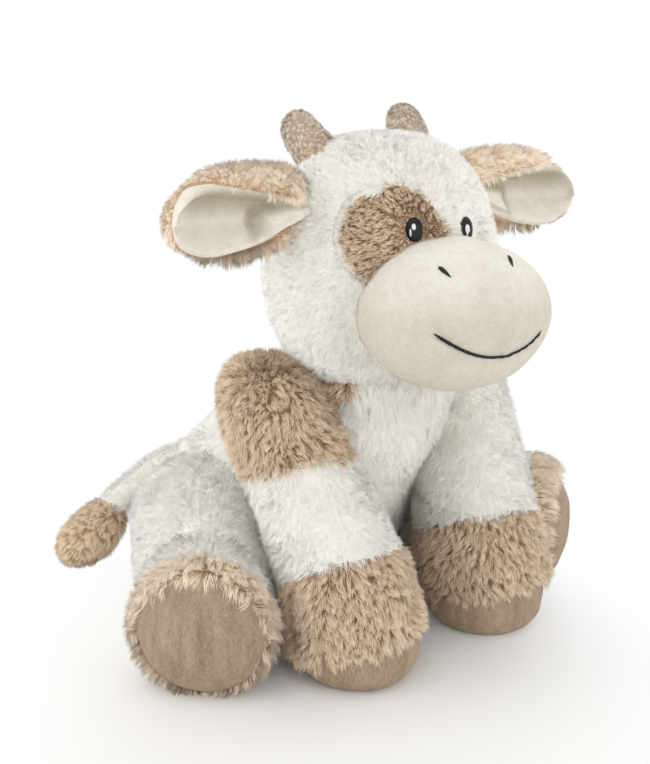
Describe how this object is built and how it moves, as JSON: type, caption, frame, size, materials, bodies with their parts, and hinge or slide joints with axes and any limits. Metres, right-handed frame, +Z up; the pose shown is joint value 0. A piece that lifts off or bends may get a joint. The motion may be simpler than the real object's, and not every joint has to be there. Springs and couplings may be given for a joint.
{
  "type": "plush cow",
  "caption": "Seated long-pile plush cow with a stuffed head, ears, horns, muzzle and legs and a tufted tail; head, ears, legs and tail flex where they are sewn on.",
  "frame": {"origin": "middle of the flat seat, on the floor", "axes": "-Y is the way the cow faces, +X is its left side, +Z is up"},
  "size_m": [0.3352, 0.3158, 0.3259],
  "materials": {
    "white_plush": "long white pile",
    "tan_plush": "long tan pile with light tips",
    "cream_velour": "short cream pile",
    "taupe_velour": "short taupe pile",
    "black_thread": "satin thread",
    "black_eye": "gloss",
    "stuffing": "loose fibre",
    "bean_bag": "woven pouch"
  },
  "bodies": {
    "torso": {"body_cover": "white_plush", "body_filling": "stuffing", "bean_pouch": "bean_bag"},
    "neck": {"neck_cushion": "white_plush"},
    "head": {"head_cover": "white_plush", "head_filling": "stuffing", "eye_patch_right": "tan_plush", "muzzle_cover": "cream_velour", "muzzle_filling": "stuffing", "nostril_right": "black_thread", "nostril_left": "black_thread", "mouth_stitch": "black_thread", "eye_right": "black_eye", "eye_left": "black_eye", "horn_right_cover": "taupe_velour", "horn_left_cover": "taupe_velour", "horn_right_filling": "stuffing", "horn_left_filling": "stuffing"},
    "ear_right": {"ear_right_back": "tan_plush", "ear_right_lining": "cream_velour"},
    "ear_left": {"ear_left_back": "tan_plush", "ear_left_lining": "cream_velour"},
    "tail": {"tail_cover": "white_plush", "tail_tuft": "tan_plush"},
    "front_leg_right": {"front_leg_right_cover": "white_plush", "front_leg_right_cuff": "tan_plush", "front_leg_right_sole": "taupe_velour", "front_leg_right_filling": "stuffing", "shoulder_patch_right": "tan_plush"},
    "hind_leg_right": {"hind_leg_right_cover": "white_plush", "hind_leg_right_cuff": "tan_plush", "hind_leg_right_sole": "taupe_velour", "hind_leg_right_filling": "stuffing"},
    "front_leg_left": {"front_leg_left_cover": "white_plush", "front_leg_left_cuff": "tan_plush", "front_leg_left_sole": "taupe_velour", "front_leg_left_filling": "stuffing"},
    "hind_leg_left": {"hind_leg_left_cover": "white_plush", "hind_leg_left_cuff": "tan_plush", "hind_leg_left_sole": "taupe_velour", "hind_leg_left_filling": "stuffing"}
  },
  "joints": [
    {"name": "head_turn", "type": "hinge", "parent": "torso", "child": "neck", "pos_m": [0, -0.104, 0.178], "axis": [0, 0, 1], "range_deg": [-30, 30], "stiffness_Nm_per_rad": 1.5},
    {"name": "head_nod", "type": "hinge", "parent": "neck", "child": "head", "pos_m": [0, -0.104, 0.178], "axis": [1, 0, 0], "range_deg": [-8, 10], "stiffness_Nm_per_rad": 3},
    {"name": "ear_right_flap", "type": "hinge", "parent": "head", "child": "ear_right", "pos_m": [-0.067, -0.107, 0.2835], "axis": [0, 1, 0], "range_deg": [-12, 12], "stiffness_Nm_per_rad": 0.1},
    {"name": "ear_left_flap", "type": "hinge", "parent": "head", "child": "ear_left", "pos_m": [0.067, -0.107, 0.2835], "axis": [0, 1, 0], "range_deg": [-12, 12], "stiffness_Nm_per_rad": 0.1},
    {"name": "front_leg_right_swing", "type": "hinge", "parent": "torso", "child": "front_leg_right", "pos_m": [-0.052, -0.089, 0.138], "axis": [-1, 0, 0], "range_deg": [0, 24], "stiffness_Nm_per_rad": 1},
    {"name": "front_leg_left_swing", "type": "hinge", "parent": "torso", "child": "front_leg_left", "pos_m": [0.052, -0.089, 0.138], "axis": [-1, 0, 0], "range_deg": [0, 24], "stiffness_Nm_per_rad": 1},
    {"name": "hind_leg_right_splay", "type": "hinge", "parent": "torso", "child": "hind_leg_right", "pos_m": [-0.058, -0.03, 0.052], "axis": [0, 0, 1], "range_deg": [-22, 0], "stiffness_Nm_per_rad": 1},
    {"name": "hind_leg_left_splay", "type": "hinge", "parent": "torso", "child": "hind_leg_left", "pos_m": [0.058, -0.03, 0.052], "axis": [0, 0, 1], "range_deg": [0, 22], "stiffness_Nm_per_rad": 1},
    {"name": "tail_swing", "type": "hinge", "parent": "torso", "child": "tail", "pos_m": [0, 0.079, 0.06], "axis": [0, 0, 1], "range_deg": [-60, 3], "stiffness_Nm_per_rad": 0.05}
  ]
}
